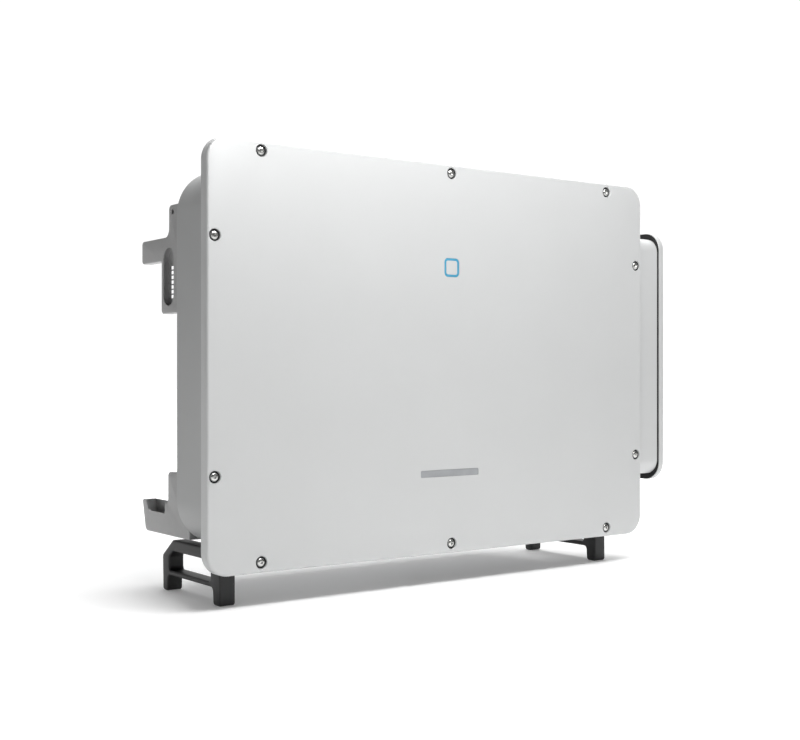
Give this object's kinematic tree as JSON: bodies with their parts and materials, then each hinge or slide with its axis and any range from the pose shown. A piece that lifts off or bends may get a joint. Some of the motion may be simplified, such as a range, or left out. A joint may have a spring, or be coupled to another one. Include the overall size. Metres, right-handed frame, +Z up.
{
  "type": "string inverter",
  "caption": "Wall-hung string inverter with a flat screwed cover, finned heat sink and fans behind, four cast ears, two handle feet and a side wiring box with a hinged door.",
  "frame": {"origin": "middle of the bounding box at floor level, under the two feet", "axes": "+Z up, -Y out of the front cover, +X towards the AC wiring box"},
  "size_m": [1.136, 0.361, 0.7932],
  "materials": {
    "painted_cover": "fine-grained silver-grey powder coat",
    "painted_cabinet": "mid-grey powder coat",
    "cast_aluminium": "die cast, blasted",
    "fin_aluminium": "extruded, satin",
    "galvanised_sheet": "zinc-coated sheet",
    "black_plastic": "moulded, fine texture",
    "grey_plastic": "moulded",
    "seal_rubber": "foamed seal",
    "stainless_steel": "bright",
    "light_guide": "translucent, lit blue",
    "board_green": "solder mask",
    "potted_aluminium": "cast tray filled with potting",
    "brass_terminal": "machined"
  },
  "bodies": {
    "cabinet": {"ac_box": "painted_cover", "ac_box_gasket": "seal_rubber", "ac_terminal_block": "grey_plastic", "capacitor_bank": "grey_plastic", "chassis_shell": "painted_cabinet", "communication_gland": "black_plastic", "control_board": "board_green", "cover_gasket": "seal_rubber", "cover_screw_01": "stainless_steel", "cover_screw_02": "stainless_steel", "cover_screw_03": "stainless_steel", "cover_screw_04": "stainless_steel", "cover_screw_05": "stainless_steel", "cover_screw_06": "stainless_steel", "cover_screw_07": "stainless_steel", "cover_screw_08": "stainless_steel", "cover_screw_09": "stainless_steel", "cover_screw_10": "stainless_steel", "dc_connector_strip_front": "black_plastic", "dc_connector_strip_rear": "black_plastic", "dc_switch_body_1": "grey_plastic", "dc_switch_body_2": "grey_plastic", "dc_switch_body_3": "grey_plastic", "door_hinge_lower": "stainless_steel", "door_hinge_upper": "stainless_steel", "duct_cover": "galvanised_sheet", "earth_terminal_left": "brass_terminal", "earth_terminal_right": "brass_terminal", "fan_tray": "black_plastic", "foot_left": "black_plastic", "foot_right": "black_plastic", "front_cover": "painted_cover", "heat_sink": "fin_aluminium", "inductor_box": "potted_aluminium", "inlet_guard": "galvanised_sheet", "lower_ear_left": "cast_aluminium", "lower_ear_right": "cast_aluminium", "outlet_grille": "galvanised_sheet", "power_board": "board_green", "power_gland_1": "black_plastic", "power_gland_2": "black_plastic", "power_gland_3": "black_plastic", "pressure_vent": "black_plastic", "status_light_guide": "light_guide", "status_window_plate": "painted_cover", "surge_protector_block": "grey_plastic", "upper_ear_left": "cast_aluminium", "upper_ear_right": "cast_aluminium"},
    "ac_door": {"ac_box_door": "painted_cover", "door_screw_upper": "stainless_steel", "door_screw_lower": "stainless_steel"},
    "fan_1": {"fan_rotor_1": "black_plastic"},
    "fan_2": {"fan_rotor_2": "black_plastic"},
    "fan_3": {"fan_rotor_3": "black_plastic"},
    "fan_4": {"fan_rotor_4": "black_plastic"},
    "fan_5": {"fan_rotor_5": "black_plastic"},
    "dc_switch_1": {"dc_switch_knob_1": "black_plastic"},
    "dc_switch_2": {"dc_switch_knob_2": "black_plastic"},
    "dc_switch_3": {"dc_switch_knob_3": "black_plastic"}
  },
  "joints": [
    {"name": "ac_door_hinge", "type": "hinge", "parent": "cabinet", "child": "ac_door", "pos_m": [0.5585, -0.014, 0.4267], "axis": [0, 0, 1], "range_deg": [0, 110]},
    {"name": "fan_1_spin", "type": "hinge", "parent": "cabinet", "child": "fan_1", "pos_m": [-0.344, 0.0815, 0.1467], "axis": [0, 0, 1], "continuous": true},
    {"name": "fan_2_spin", "type": "hinge", "parent": "cabinet", "child": "fan_2", "pos_m": [-0.199, 0.0815, 0.1467], "axis": [0, 0, 1], "continuous": true},
    {"name": "fan_3_spin", "type": "hinge", "parent": "cabinet", "child": "fan_3", "pos_m": [-0.054, 0.0815, 0.1467], "axis": [0, 0, 1], "continuous": true},
    {"name": "fan_4_spin", "type": "hinge", "parent": "cabinet", "child": "fan_4", "pos_m": [0.091, 0.0815, 0.1467], "axis": [0, 0, 1], "continuous": true},
    {"name": "fan_5_spin", "type": "hinge", "parent": "cabinet", "child": "fan_5", "pos_m": [0.236, 0.0815, 0.1467], "axis": [0, 0, 1], "continuous": true},
    {"name": "dc_switch_1_turn", "type": "hinge", "parent": "cabinet", "child": "dc_switch_1", "pos_m": [-0.354, -0.1185, 0.0867], "axis": [0, 0, 1], "range_deg": [0, 90]},
    {"name": "dc_switch_2_turn", "type": "hinge", "parent": "cabinet", "child": "dc_switch_2", "pos_m": [-0.259, -0.1185, 0.0867], "axis": [0, 0, 1], "range_deg": [0, 90]},
    {"name": "dc_switch_3_turn", "type": "hinge", "parent": "cabinet", "child": "dc_switch_3", "pos_m": [-0.164, -0.1185, 0.0867], "axis": [0, 0, 1], "range_deg": [0, 90]}
  ]
}
